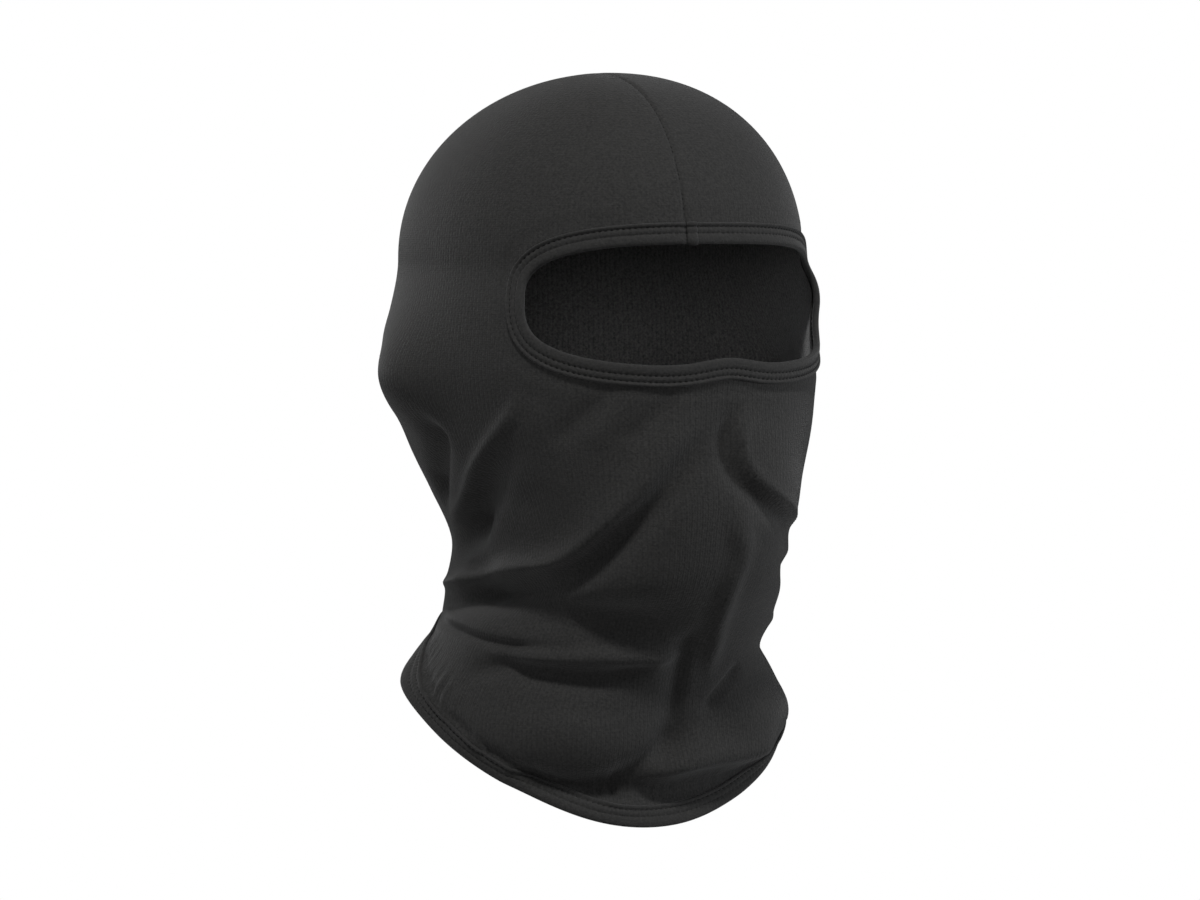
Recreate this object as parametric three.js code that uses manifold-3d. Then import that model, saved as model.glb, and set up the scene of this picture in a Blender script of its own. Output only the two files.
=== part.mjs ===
// A stretch-knit balaclava with one eye opening, as it sits on a head.
// One cloth is cut on the fold of the front edge and closed by one seam over the crown and down the back.
// A folded binding strip finishes the eye opening and another finishes the lower edge. Each strip is held
// by two rows of needle thread with a looper thread inside, and its ends are closed by a short join stitch.
// Millimetres, +Z up, the face looks to -Y and the wearer's right is -X. The origin is the inside of the
// crown, the point by which the hood hangs on the head.
import * as THREE from "three";
import { LoftGeometry } from "three/addons/geometries/LoftGeometry.js";
import { mergeVertices } from "three/addons/utils/BufferGeometryUtils.js";
import Module from "manifold-3d";

const wasm = await Module();
wasm.setup();

// Head form inside the cloth
const headBreadth = 159; // at the brow, ear to ear
const headLength = 192; // at the brow, forehead to back
const domeHeight = 78; // crown to brow
const crownLead = 9; // how far the crown lies ahead of the brow section's middle
const sectionPower = 2.15; // squareness of a level section: 2 is an ellipse
const domePower = 2.08; // squareness of the dome's side view
const earDrop = 127; // crown to the middle of the ear
const earTurn = 97; // degrees from the face's middle to the ear
const earBulge = 12; // how far the ear lifts the cloth
const earHalfHeight = 18;
const earHalfTurn = 17; // degrees

// Lengths of the hood, straight down from the crown
const frontLength = 311;
const backLength = 236;
const bibSharpness = 1.3; // how quickly the lower edge rises from the front

// Eye opening, measured along the cloth from its middle
const eyeDrop = 94; // crown to the opening's corners
const eyeHalfWidth = 83;
const eyeRise = 23; // opening's edge above the corners
const eyeFall = 25; // and below them
const eyeSquareness = 2.8;
const noseRise = 3; // how far the nose lifts the lower edge
const noseHalfWidth = 15;

// Cloth, binding and thread
const clothWall = 0.7;
const bindingWall = 0.6;
const bindingWidth = 8.5;
const seamGap = 0.4; // between the two cloth edges that the crown seam joins
const seamOffset = 15; // how far the seam has drifted to the wearer's right at the brow
const clearance = 0.6; // between pieces that lie on each other
const threadRadius = 0.25;
const stitchInset = 4.2; // fold edge to the first row of stitches
const stitchSpacing = 2.6; // between the two rows

// Mesh steps
const columns = 56; // round the head
const domeRows = 10;
const bodyRows = 20;
const hemRows = 2;
const loopSteps = 56; // along a binding
const threadSides = 4;
const seamPasses = 8; // for finding where the seam crosses a level
const mergeWithin = 1e-4;
const fineSteps = 2000; // for measuring along an outline
const nudge = 1e-3; // the step of a numeric slope, in radians or millimetres
const crownStart = 0.4; // the first dome row's share of a row's distance from the crown
const cutterInner = 0.6; // the eye cutter's innermost ring, as a share of the cloth's own distance out
const cutterOuter = 2.2; // and its outermost ring

const black = { color: 0x2b2b2c, roughness: 0.9, metalness: 0 };
const clothMaterial = new THREE.MeshStandardMaterial({ ...black, name: "cloth" });
const bindingMaterial = new THREE.MeshStandardMaterial({ ...black, color: 0x262627, name: "binding" });
const threadMaterial = new THREE.MeshStandardMaterial({ ...black, color: 0x1a1a1b, name: "thread" });

// Level sections from the brow to the front hem: how far down that stretch, then the half width, the front
// and the back as shares of the brow's. Cheeks and ears, nose, jaw, throat, the loose neck and its flare.
const sections = [
  [0.0, 1.0, 1.0, 1.0],
  [0.085, 1.05, 1.06, 1.0],
  [0.18, 1.075, 1.08, 1.01],
  [0.26, 1.04, 1.07, 0.99],
  [0.335, 0.975, 1.07, 0.95],
  [0.425, 0.86, 1.08, 0.87],
  [0.515, 0.775, 1.03, 0.74],
  [0.58, 0.825, 0.95, 0.68],
  [0.645, 0.86, 0.83, 0.71],
  [0.715, 0.91, 0.73, 0.77],
  [0.78, 0.985, 0.68, 0.85],
  [0.85, 1.03, 0.68, 0.87],
  [0.945, 0.99, 0.66, 0.84],
  [1.05, 0.93, 0.64, 0.81],
];
const profile = new THREE.CubicInterpolant(
  sections.map(([down]) => down),
  sections.flatMap(([, ...shares]) => shares),
  3,
);
profile.settings = { endingStart: THREE.ZeroSlopeEnding, endingEnd: THREE.ZeroSlopeEnding };

const bell = (value, halfWidth) => Math.exp(-((value / halfWidth) ** 2));

// The level section of the head form at a height: half width, half length and the middle's place in Y.
function sectionAt(height) {
  const lift = THREE.MathUtils.clamp(1 + height / domeHeight, 0, 1);
  const shrink = (1 - lift ** domePower) ** (1 / domePower);
  const down = Math.max(0, -height - domeHeight) / (frontLength - domeHeight);
  const [width, front, back] = profile.evaluate(down);
  const middle = crownLead * (1 - lift ** 2) + ((back - front) * headLength) / 4;
  return {
    halfWidth: (width * shrink * headBreadth) / 2,
    halfLength: ((front + back) * shrink * headLength) / 4,
    middle,
  };
}

// A point of the head form. Turn is the angle from the face's middle towards the wearer's right.
function formPoint(turn, height) {
  const { halfWidth, halfLength, middle } = sectionAt(height);
  const across = (Math.abs(Math.sin(turn)) / halfWidth) ** sectionPower;
  const along = (Math.abs(Math.cos(turn)) / halfLength) ** sectionPower;
  const fromEar = THREE.MathUtils.radToDeg(Math.abs(turn)) - earTurn;
  const ear = earBulge * bell(fromEar, earHalfTurn) * bell(height + earDrop, earHalfHeight);
  const reach = (across + along) ** (-1 / sectionPower) + ear;
  return new THREE.Vector3(-reach * Math.sin(turn), middle - reach * Math.cos(turn), height);
}

// The same point moved out along the form's normal.
function skinPoint(turn, height, out) {
  const point = formPoint(turn, height);
  const round = formPoint(turn + nudge, height).sub(point);
  const down = formPoint(turn, height - nudge).sub(point);
  return point.addScaledVector(round.cross(down).normalize(), out);
}

// Height of the lower fold edge at a turn.
const hemHeight = (turn) =>
  -backLength - (frontLength - backLength) * ((1 + Math.cos(turn)) / 2) ** bibSharpness;

// The length along the cloth that a turn spans, and the turn of a length.
const alongOf = (turn) => (turn * headLength) / 2;
const turnOf = (along) => (along * 2) / headLength;

// How steeply the lower edge rises along the cloth.
const hemSlope = (turn) => (hemHeight(turn + nudge) - hemHeight(turn - nudge)) / alongOf(2 * nudge);

// Levels of the cloth at a turn, from the crown to the edge that lies inside the neck binding.
const edgeInset = bindingWall + clearance;
function levels(turn) {
  const stretch = Math.hypot(1, hemSlope(turn));
  const edge = hemHeight(turn) + edgeInset * stretch;
  const bandTop = hemHeight(turn) + bindingWidth * stretch;
  const heights = [];
  for (let i = 0; i < domeRows; i++) {
    const angle = ((i + crownStart) / domeRows) * (Math.PI / 2);
    heights.push(domeHeight * (Math.cos(angle) - 1));
  }
  for (let i = 0; i < bodyRows; i++)
    heights.push(THREE.MathUtils.lerp(-domeHeight, bandTop, i / bodyRows));
  for (let i = 0; i <= hemRows; i++) heights.push(THREE.MathUtils.lerp(bandTop, edge, i / hemRows));
  return heights;
}

// The eye opening's outline as a point on the flat cloth, moved out by a margin. Angle 90 degrees is the
// top and angle 0 is the wearer's right corner.
function eyeOutline(angle, margin) {
  const onEdge = (a) => {
    const side = Math.cos(a);
    const rise = Math.sin(a);
    const corner = (value) => Math.sign(value) * Math.abs(value) ** (2 / eyeSquareness);
    const along = eyeHalfWidth * corner(side);
    const nose = rise < 0 ? noseRise * bell(along, noseHalfWidth) : 0;
    return new THREE.Vector2(along, corner(rise) * (rise > 0 ? eyeRise : eyeFall) + nose);
  };
  const tangent = onEdge(angle + nudge).sub(onEdge(angle - nudge)).normalize();
  return onEdge(angle).add(new THREE.Vector2(tangent.y, -tangent.x).multiplyScalar(margin));
}

function eyePoint(angle, margin, out) {
  const { x, y } = eyeOutline(angle, margin);
  return skinPoint(turnOf(x), y - eyeDrop, out);
}

// A point of the lower edge, moved up square to the edge by a margin.
function hemPoint(turn, margin, out) {
  const slope = hemSlope(turn);
  const up = margin / Math.hypot(1, slope);
  return skinPoint(turn - turnOf(slope * up), hemHeight(turn) + up, out);
}

// The turn at which the crown seam crosses a level, in front or behind. The seam lies in an upright plane
// from its drifted end at the brow to the middle of the back, and runs straight down below that.
function seamTurn(height, behind) {
  if (behind && height < -domeHeight) return Math.PI;
  const { middle } = sectionAt(height);
  let turn = behind ? Math.PI : 0;
  for (let pass = 0; pass < seamPasses; pass++) {
    const { x, y } = formPoint(turn, height);
    const aside = seamOffset * (0.5 - y / headLength);
    const swing = Math.asin(Math.min(1, aside / Math.hypot(x, y - middle)));
    turn = behind ? Math.PI - swing : swing;
  }
  return turn;
}

const browSeamEnd = eyeRise - eyeDrop + bindingWidth + clearance;
const backSeamEnd = -backLength + bindingWidth + clearance;
const seamLevels = (turn, end) => levels(turn).filter((height) => height > end + clearance);
const seamPlaces = (heights, behind) => heights.map((height) => [seamTurn(height, behind), height]);
const seamLine = [
  ...seamPlaces([backSeamEnd, ...seamLevels(Math.PI, backSeamEnd).reverse()], true),
  ...seamPlaces([...seamLevels(0, browSeamEnd), browSeamEnd], false),
];
const browSeamTurn = seamTurn(browSeamEnd, false);

// Angles spread so that steps along the eye opening's outline are about even.
function evenAngles(count, start, gap) {
  const lengths = [0];
  const angleAt = (i) => start - (i / fineSteps) * Math.PI * 2;
  for (let i = 1; i <= fineSteps; i++) {
    const step = eyeOutline(angleAt(i), bindingWidth).distanceTo(eyeOutline(angleAt(i - 1), bindingWidth));
    lengths.push(lengths[i - 1] + step);
  }
  const whole = lengths[fineSteps];
  const angles = [];
  let at = 0;
  for (let i = 0; i <= count; i++) {
    const wanted = gap / 2 + ((whole - gap) * i) / count;
    while (at < fineSteps - 1 && lengths[at + 1] < wanted) at++;
    const share = (wanted - lengths[at]) / (lengths[at + 1] - lengths[at]);
    angles.push(angleAt(at + share));
  }
  return angles;
}

// Turns round the hem from just past the centre back to just short of it.
function evenTurns(count, gap) {
  const half = Math.PI - gap / headLength;
  return Array.from({ length: count + 1 }, (_, i) => THREE.MathUtils.lerp(-half, half, i / count));
}

function solidOf(geometry) {
  const bare = new THREE.BufferGeometry();
  bare.setAttribute("position", geometry.getAttribute("position")).setIndex(geometry.getIndex());
  const { attributes, index } = mergeVertices(bare, mergeWithin);
  return new wasm.Manifold(
    new wasm.Mesh({
      numProp: 3,
      vertProperties: attributes.position.array,
      triVerts: new Uint32Array(index.array),
    }),
  );
}

function geometryOf(solid) {
  const { vertProperties, triVerts } = solid.getMesh();
  const geometry = new THREE.BufferGeometry();
  geometry.setAttribute("position", new THREE.BufferAttribute(vertProperties, 3));
  geometry.setIndex(new THREE.BufferAttribute(triVerts, 1));
  geometry.computeVertexNormals();
  return geometry;
}

// A body through a list of rings, with its two ends closed.
const loft = (rings) => new LoftGeometry(rings, { capStart: true, capEnd: true });

// A body through a list of rings that comes back to its first ring.
const loopLoft = (rings) => new LoftGeometry([...rings, rings[0]]);

// Turns the cap on a loft's last ring to face the other way, for a shell that ends inside itself.
function turnLastCap(geometry, ringSize) {
  const index = geometry.getIndex().array;
  for (let i = index.length - 3 * (ringSize - 2); i < index.length; i += 3)
    [index[i], index[i + 1]] = [index[i + 1], index[i]];
}

// The cloth: down the outside, round the lower edge and back up the inside, with the eye opening and the
// slit of the crown seam cut through.
function hoodGeometry() {
  const turns = Array.from({ length: columns }, (_, i) => ((i + 0.5) / columns) * Math.PI * 2 - Math.PI);
  const heights = turns.map(levels);
  const ring = (row, out) => turns.map((turn, i) => skinPoint(turn, heights[i][row], out));
  const rows = heights[0].map((_, row) => row);
  const shell = loft([
    ...rows.map((row) => ring(row, clothWall)),
    ...rows.reverse().map((row) => ring(row, 0)),
  ]);
  turnLastCap(shell, columns);
  return geometryOf(solidOf(shell).subtract(eyeCutter()).subtract(seamCutter()));
}

function eyeCutter() {
  const angles = evenAngles(loopSteps, Math.PI / 2, 0).slice(1);
  const outline = angles.map((angle) => eyePoint(angle, edgeInset, 0));
  const scaled = (share) => outline.map((p) => new THREE.Vector3(p.x * share, p.y * share, p.z));
  return solidOf(loft([scaled(cutterInner), scaled(1), scaled(cutterOuter)]));
}

function seamCutter() {
  const reach = clothWall + clearance;
  const past = bindingWidth + 2 * clearance; // on under each binding and past the cloth's edge
  const line = [[Math.PI, backSeamEnd - past], ...seamLine, [browSeamTurn, browSeamEnd - past]];
  const middles = line.map(([turn, height]) => skinPoint(turn, height, 0));
  const outers = line.map(([turn, height]) => skinPoint(turn, height, reach));
  const rings = middles.map((middle, i) => {
    const next = middles[Math.min(i + 1, middles.length - 1)];
    const last = middles[Math.max(i - 1, 0)];
    const out = outers[i].clone().sub(middle);
    const side = out.clone().cross(next.clone().sub(last)).setLength(seamGap / 2);
    const corner = (outward, sideways) =>
      middle.clone().addScaledVector(out, outward).addScaledVector(side, sideways);
    return [corner(1, 1), corner(1, -1), corner(-1, -1), corner(-1, 1)];
  });
  return solidOf(loft(rings));
}

// The binding's folded section as [distance from the fold edge, height over the head form].
const bandTopFace = clothWall + clearance + bindingWall;
const bandUnderFace = -clearance - bindingWall;
const chamfer = bindingWall / 2;
const bandSection = [
  [0, bandUnderFace + chamfer],
  [0, bandTopFace - chamfer],
  [chamfer, bandTopFace],
  [bindingWidth, bandTopFace],
  [bindingWidth, bandTopFace - bindingWall],
  [bindingWall, bandTopFace - bindingWall],
  [bindingWall, bandUnderFace + bindingWall],
  [bindingWidth, bandUnderFace + bindingWall],
  [bindingWidth, bandUnderFace],
  [chamfer, bandUnderFace],
];

const bindingGeometry = (stations, pointAt) =>
  loft(stations.map((station) => bandSection.map(([margin, out]) => pointAt(station, margin, out))));

// The rings of a round thread through places on the cloth, each a point and the way out of the cloth.
function threadRings(places) {
  return places.map((place, i) => {
    const from = places[Math.max(i - 1, 0)].point;
    const to = places[Math.min(i + 1, places.length - 1)].point;
    const ahead = to.clone().sub(from).normalize();
    const side = ahead.clone().cross(place.out).normalize();
    const up = side.clone().cross(ahead);
    return Array.from({ length: threadSides }, (_, j) => {
      const angle = (-(j + 0.5) / threadSides) * Math.PI * 2;
      return place.point
        .clone()
        .addScaledVector(side, threadRadius * Math.cos(angle))
        .addScaledVector(up, threadRadius * Math.sin(angle));
    });
  });
}

// The places of a thread that lies at a height over the head form.
function threadPlaces(stations, pointAt, height) {
  return stations.map((station) => {
    const point = pointAt(station, height);
    return { point, out: pointAt(station, height + 1).sub(point) };
  });
}

function rowGeometry(stations, pointAt, margin, height) {
  const places = threadPlaces(stations, (station, out) => pointAt(station, margin, out), height);
  const wrapped = [places.at(-2), ...places, places[1]];
  return loopLoft(threadRings(wrapped).slice(1, -2));
}

const overBand = bandTopFace + clearance + threadRadius;
const underBand = bandUnderFace - clearance - threadRadius;
const overCloth = clothWall + clearance + threadRadius;
const underCloth = -2 * clearance - threadRadius;

const seamGeometry = (height) =>
  loft(threadRings(threadPlaces(seamLine, ([turn, level], out) => skinPoint(turn, level, out), height)));

// The short row across a binding where its two ends meet, over the rows of stitches.
function joinGeometry(station, pointAt) {
  const margins = [bindingWall, bindingWidth / 2, bindingWidth - bindingWall];
  const height = overBand + 2 * threadRadius + clearance;
  const places = threadPlaces(margins, (margin, out) => pointAt(station, margin, out), height);
  return loft(threadRings(places));
}

// The eye binding's ends meet where the crown seam comes down to it, and the neck binding's at the back.
const eyeJoin = Math.acos((alongOf(browSeamTurn) / eyeHalfWidth) ** (eyeSquareness / 2));
const eyeStations = evenAngles(loopSteps, eyeJoin, seamGap);
const eyeLoop = evenAngles(loopSteps, eyeJoin, 0);
const neckStations = evenTurns(loopSteps, seamGap);
const neckLoop = evenTurns(loopSteps, 0);
const secondRow = stitchInset + stitchSpacing;
const betweenRows = stitchInset + stitchSpacing / 2;

const pieces = {
  hood_cloth: [hoodGeometry(), clothMaterial],
  crown_seam_thread: [seamGeometry(overCloth), threadMaterial],
  crown_seam_looper: [seamGeometry(underCloth), threadMaterial],
  eye_binding: [bindingGeometry(eyeStations, eyePoint), bindingMaterial],
  eye_stitch_inner: [rowGeometry(eyeLoop, eyePoint, stitchInset, overBand), threadMaterial],
  eye_stitch_outer: [rowGeometry(eyeLoop, eyePoint, secondRow, overBand), threadMaterial],
  eye_looper: [rowGeometry(eyeLoop, eyePoint, betweenRows, underBand), threadMaterial],
  eye_join_stitch: [joinGeometry(eyeJoin, eyePoint), threadMaterial],
  neck_binding: [bindingGeometry(neckStations, hemPoint), bindingMaterial],
  neck_stitch_lower: [rowGeometry(neckLoop, hemPoint, stitchInset, overBand), threadMaterial],
  neck_stitch_upper: [rowGeometry(neckLoop, hemPoint, secondRow, overBand), threadMaterial],
  neck_looper: [rowGeometry(neckLoop, hemPoint, betweenRows, underBand), threadMaterial],
  neck_join_stitch: [joinGeometry(Math.PI, hemPoint), threadMaterial],
};

const balaclava = new THREE.Group();
balaclava.name = "balaclava";
for (const [name, [geometry, material]] of Object.entries(pieces)) {
  const mesh = new THREE.Mesh(geometry, material);
  mesh.name = name;
  balaclava.add(mesh);
}

export default balaclava;
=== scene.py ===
import bmesh
import bpy
import math
import numpy as np
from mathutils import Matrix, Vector


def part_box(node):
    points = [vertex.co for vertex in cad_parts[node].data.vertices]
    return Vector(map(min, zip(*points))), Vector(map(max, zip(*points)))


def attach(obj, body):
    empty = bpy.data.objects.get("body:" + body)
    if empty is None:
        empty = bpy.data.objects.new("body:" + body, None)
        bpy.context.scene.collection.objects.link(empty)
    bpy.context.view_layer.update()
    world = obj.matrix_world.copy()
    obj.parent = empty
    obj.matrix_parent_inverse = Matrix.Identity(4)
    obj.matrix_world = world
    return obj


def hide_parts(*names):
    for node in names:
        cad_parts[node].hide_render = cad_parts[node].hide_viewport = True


# A black stretch-knit balaclava on an unseen head. Lengths are millimetres until a mesh is made, and metres
# for the floor, the lamps and the camera.
# A place on the cloth is a turn, from the middle of the face towards the wearer's right, and a drop,
# straight down from the crown.

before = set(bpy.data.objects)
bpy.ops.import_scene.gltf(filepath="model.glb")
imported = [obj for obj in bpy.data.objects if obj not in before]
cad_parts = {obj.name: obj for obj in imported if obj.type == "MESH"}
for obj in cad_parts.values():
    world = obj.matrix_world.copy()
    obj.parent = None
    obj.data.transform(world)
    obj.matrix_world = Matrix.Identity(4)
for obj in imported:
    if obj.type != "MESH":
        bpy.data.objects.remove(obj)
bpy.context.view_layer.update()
mm = 0.001
neckLow, neckHigh = (np.array(corner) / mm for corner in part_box("neck_binding"))
print("frame loaded", len(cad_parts), "nodes")

head = dict(
    breadth=159,  # at the brow
    length=192,
    dome=78,  # crown to brow
    crownLead=9,  # the crown lies this far ahead of the brow's middle
    levelPower=2.15,  # squareness of a level section
    domePower=2.08,
    earDrop=127,
    earTurn=97,
    earBulge=12,
    earHalfHeight=18,
    earHalfTurn=17,
)
hood = dict(
    wall=0.7,
    front=-neckLow[2] - 0.1,  # crown to the front hem, which the CAD's binding passes by this much
    back=-neckHigh[2] + 9,  # crown to the back hem, this far below the top of the CAD's binding
    bib=1.3,  # how quickly the hem rises from the front
    sag=2.2,  # the hem hangs a little lower beside the middle
    columns=252,
    domeRows=50,
    bodyRows=134,
    seamAtBrow=15,  # the seam has drifted this far to the wearer's right at the brow
    seamDepth=0.55,
    seamHalfWidth=0.9,
    cutEdge=1.6,  # the cut edge lies this far inside the hem's folded strip
    eyeCut=3.4,  # faces that lie within the eye opening and this margin round it are left out
)
eye = dict(
    drop=94,  # crown to the corners
    halfWidth=83,
    rise=23,
    fall=25,
    square=2.8,
    noseRise=3,
    noseHalfWidth=15,
)
band = dict(
    width=8.5,
    wall=0.6,
    lift=0.12,  # between the folded strip and the cloth
    rowInset=4.2,  # fold edge to the first row of stitches
    rowSpacing=2.6,
    puff=0.32,  # roll of the folded edge
    ridge=0.14,  # between the two rows
    freeRoll=0.55,  # roll of the free edge
    groove=0.12,  # along each row
    dent=0.46,  # at each needle hole
    rowHalfWidth=0.5,
    eyePitch=2.3,
    hemPitch=2.4,
)
rowA = band["rowInset"]
rowB = rowA + band["rowSpacing"]
drape = dict(
    radius=88,  # of the round on which the folds are drawn
    reach=22,  # degrees past a fold's ends beyond which it isn't worked out
    hemShare=0.2,  # what is left of a fold at the hem
    hemFade=(1, 13),  # folds come up between these distances from the hem's edge
    eyeFade=(3, 22),
    eyeGroove=0.5,  # how deep the bindings' free edges press into the cloth
    hemGroove=0.7,
    grooveGap=2.2,
    grooveHalfWidth=1.4,
)

# Level sections from the brow to the front hem: how far down that stretch, then the half width, the front
# and the back as shares of the brow's.
levelTable = np.array([
    [0.0, 1.0, 1.0, 1.0],
    [0.085, 1.05, 1.06, 1.0],
    [0.18, 1.075, 1.08, 1.01],
    [0.26, 1.04, 1.07, 0.99],
    [0.335, 0.975, 1.07, 0.95],
    [0.425, 0.86, 1.08, 0.87],
    [0.515, 0.775, 1.03, 0.74],
    [0.58, 0.825, 0.95, 0.68],
    [0.645, 0.86, 0.83, 0.71],
    [0.715, 0.91, 0.73, 0.77],
    [0.78, 0.985, 0.68, 0.85],
    [0.85, 1.03, 0.68, 0.87],
    [0.945, 0.99, 0.66, 0.84],
    [1.05, 0.93, 0.64, 0.81],
])


turnStep, dropStep = 1e-3, 0.01  # small steps for slopes, in radians and millimetres


def bell(value, halfWidth):
    return np.exp(-((value / halfWidth) ** 2))


def ease(value, start, end):
    t = np.clip((value - start) / (end - start), 0, 1)
    return t * t * (3 - 2 * t)


def levelShares(down):
    place, shares = levelTable[:, 0], levelTable[:, 1:]
    slopes = np.zeros_like(shares)
    slopes[1:-1] = (shares[2:] - shares[:-2]) / (place[2:] - place[:-2])[:, None]
    down = np.clip(down, place[0], place[-1])
    i = np.clip(np.searchsorted(place, down, side="right") - 1, 0, len(place) - 2)
    gap = (place[i + 1] - place[i])[..., None]
    t = (down - place[i])[..., None] / gap
    start = (2 * t**3 - 3 * t**2 + 1) * shares[i] + (t**3 - 2 * t**2 + t) * gap * slopes[i]
    end = (3 * t**2 - 2 * t**3) * shares[i + 1] + (t**3 - t**2) * gap * slopes[i + 1]
    return np.moveaxis(start + end, -1, 0)


def levelAt(drop):
    # half width, half length and the middle's place in Y of the head form at a drop
    lift = np.clip(1 - drop / head["dome"], 0, 1)
    shrink = (1 - lift ** head["domePower"]) ** (1 / head["domePower"])
    down = np.maximum(0, drop - head["dome"]) / (hood["front"] - head["dome"])
    width, front, back = levelShares(down)
    middle = head["crownLead"] * (1 - lift**2) + (back - front) * head["length"] / 4
    return width * shrink * head["breadth"] / 2, (front + back) * shrink * head["length"] / 4, middle


def formPoint(turn, drop):
    halfWidth, halfLength, middle = levelAt(drop)
    across = (np.abs(np.sin(turn)) / np.maximum(halfWidth, 1e-6)) ** head["levelPower"]
    along = (np.abs(np.cos(turn)) / np.maximum(halfLength, 1e-6)) ** head["levelPower"]
    fromEar = np.degrees(np.abs(turn)) - head["earTurn"]
    ear = head["earBulge"] * bell(fromEar, head["earHalfTurn"])
    ear = ear * bell(drop - head["earDrop"], head["earHalfHeight"])
    reach = (across + along) ** (-1 / head["levelPower"]) + ear
    return np.stack([-reach * np.sin(turn), middle - reach * np.cos(turn), -drop + 0 * turn], -1)


def outward(surface, turn, drop):
    # points of a surface and its unit normals there, by small steps along it
    here = surface(turn, drop)
    aside = surface(turn + turnStep, drop) - here
    below = surface(turn, drop + dropStep) - here
    normal = np.cross(aside, below)
    return here, normal / np.linalg.norm(normal, axis=-1, keepdims=True)


# Folds of the worn cloth. A line runs through (turn in degrees, drop). Its ridge is "rise" high and has a
# half width on each side. On a run towards the wearer's right, "above" is the upper side and "under" the
# lower one, and towards the wearer's left they change places. Straight down, "under" is the side of the
# smaller turn. A hollow lies "at" an offset, positive on the "under" side. The pairs "grow", "widen" and
# "deepen" multiply the ridge's height, its half widths and the hollow, at the line's start and at its end.
mainDrag = [(7, 136), (13, 149), (22, 168), (30, 180), (41, 193), (51, 200), (66, 204), (84, 208), (112, 215),
            (140, 219)]
farCheek = [(-3, 148), (-5, 160), (-12, 170), (-25, 180), (-40, 189)]
folds = [
    # from the nose down across the throat to the nape: the main drag
    dict(line=mainDrag,
         rise=3.8, above=7.5, under=3.4, grow=(0.9, 0.8), widen=(1.2, 0.55), hollow=4.4, at=8.5,
         wide=5.5, deepen=(0.7, 1.3)),
    dict(line=mainDrag[2:], rise=1.5, above=2.8, under=1.9),
    # the shaded throat beneath it
    dict(line=[(2, 224), (24, 225), (44, 222), (62, 218), (80, 215), (104, 212)],
         rise=-7, above=10, under=9),
    # from the cheek down to the jaw corner
    dict(line=[(50, 128), (54, 139), (62, 150), (72, 161), (86, 173), (98, 181), (124, 192)],
         rise=2.8, above=3.2, under=2.6, grow=(0.8, 1.3), hollow=5.2, at=9, wide=6.5,
         deepen=(-0.7, 2.5)),
    dict(line=[(82, 145), (92, 157), (104, 168), (118, 181)], rise=-6.0, above=7.5, under=5),
    # soft drags under the eye band
    dict(line=[(27, 123), (33, 136), (43, 151)], rise=-1.5, above=4.5, under=4),
    dict(line=[(13, 127), (18, 138), (25, 151)], rise=-1.5, above=4, under=4),
    dict(line=[(20, 122), (26, 137), (34, 152)], rise=0.9, above=4, under=4),
    # the crease beside the nose and round the far cheek
    dict(line=[(-5, 132)] + farCheek, rise=2.6, above=2.4, under=17, hollow=2.4, at=-5.5, wide=3.8),
    dict(line=[(-5, 136)] + farCheek, rise=1.3, above=1.9, under=2.4),
    # from the chin down the throat
    dict(line=[(-2, 172), (-4, 185), (-6, 196), (-5, 207), (-6, 220), (-9, 236), (-12, 254)],
         rise=2.8, above=4, under=6),
    dict(line=[(2, 226), (1, 240), (1, 254), (2, 270)], rise=-2.8, above=8, under=4.5),
    # the level crease of the neck, a fine line that turns into an overhanging ridge
    dict(line=[(28, 235), (42, 235.5), (56, 235.5), (66, 235), (77, 234), (97, 232), (140, 230)],
         rise=-2.6, above=2.2, under=1.7),
    dict(line=[(0, 239), (14, 238), (30, 237), (46, 237), (62, 239)], rise=3.6, above=2.6, under=4.5),
    dict(line=[(10, 243), (20, 246), (32, 248), (46, 246), (60, 244), (76, 248)],
         rise=-3.4, above=4, under=4.5),
    # short crease by the far bulge
    dict(line=[(-26, 247), (-18, 254), (-9, 264)], rise=-2.2, above=2.2, under=3),
    # the hollow that opens from the throat to the front hem
    dict(line=[(0, 262), (2, 271), (7, 281), (15, 288), (23, 292.5), (37, 295), (48, 291),
               (54, 285)],
         rise=-8.4, above=7, under=9, grow=(0.6, 1.1)),
    # the lip over the front hem
    dict(line=[(-46, 285), (-30, 286), (-12, 286), (4, 288), (20, 290)],
         rise=5.2, above=9, under=3.6, hollow=3.8, at=9, wide=6),
    # small tucks above the hem
    dict(line=[(82, 262), (88, 255), (94, 253)], rise=-1.2, above=2.5, under=3),
    dict(line=[(64, 274), (70, 269), (76, 267)], rise=-1.2, above=2.5, under=3),
    dict(line=[(52, 283), (57, 279), (62, 278)], rise=-1.1, above=2.5, under=3),
    dict(line=[(20, 300), (21, 294), (19, 289)], rise=-0.8, above=2.5, under=3),
    # wearer's left side and nape
    dict(line=[(-52, 136), (-66, 158), (-88, 176), (-114, 189)],
         rise=2.4, above=5, under=8, hollow=2.6, at=-9, wide=6),
    dict(line=[(-34, 194), (-60, 204), (-92, 211), (-124, 214)],
         rise=2.6, above=4.5, under=9, hollow=2.6, at=-9, wide=6),
    dict(line=[(-44, 230), (-80, 234), (-118, 229)],
         rise=1.8, above=5, under=4, hollow=1.5, at=-9, wide=6),
    dict(line=[(146, 195), (172, 201), (196, 200), (216, 194)],
         rise=2.0, above=6, under=5, hollow=1.8, at=9, wide=5),
    dict(line=[(136, 215), (164, 218), (190, 217), (226, 213)], rise=1.6, above=5, under=5),
]

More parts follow.
